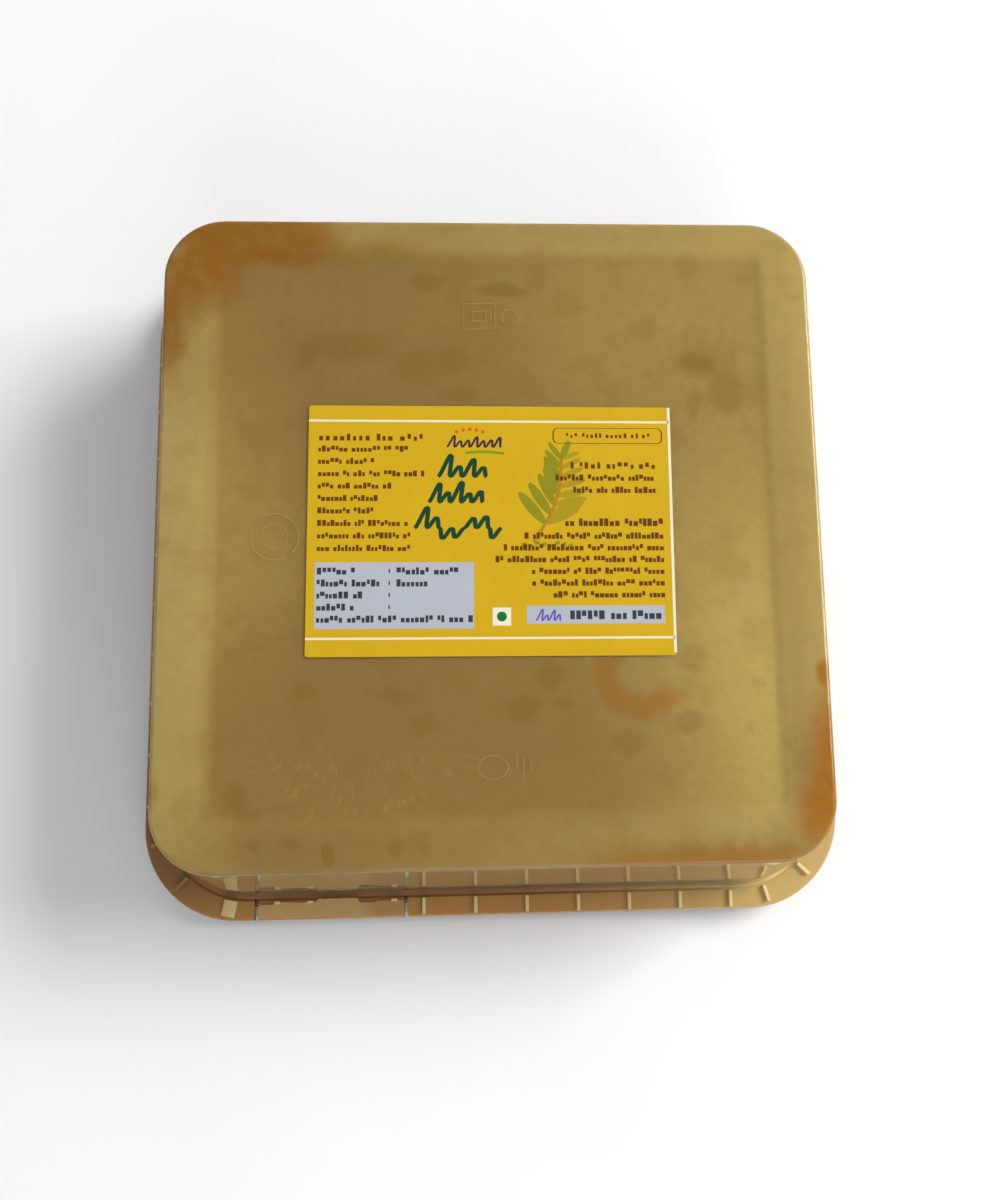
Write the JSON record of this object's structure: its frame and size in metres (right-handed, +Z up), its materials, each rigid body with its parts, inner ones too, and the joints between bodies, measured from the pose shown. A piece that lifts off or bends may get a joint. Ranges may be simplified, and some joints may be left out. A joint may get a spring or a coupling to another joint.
{
  "type": "tub of jaggery",
  "caption": "Shut square tamper-evident tub of set jaggery, turned over on its lid so that the flat base with its back label is on top, above a ribbed flange.",
  "frame": {"origin": "middle of the footprint, on the surface that the lid stands on", "axes": "+Z up through the tub's base, which is turned up; -Y is the side with the tear tab; +X is to the right of it"},
  "size_m": [0.1394, 0.1394, 0.041],
  "materials": {
    "tub_plastic": "hazy amber-tinted moulded plastic, glossy on the walls, faintly etched on the base",
    "lid_plastic": "thin hazy see-through plastic, satin",
    "jaggery": "set golden-brown palm sugar, dull, with darker orange patches where it wets the plastic",
    "label_paper": null
  },
  "bodies": {
    "root": {"tub": "tub_plastic", "lid": "lid_plastic", "jaggery": "jaggery", "label": "label_paper"}
  },
  "joints": []
}
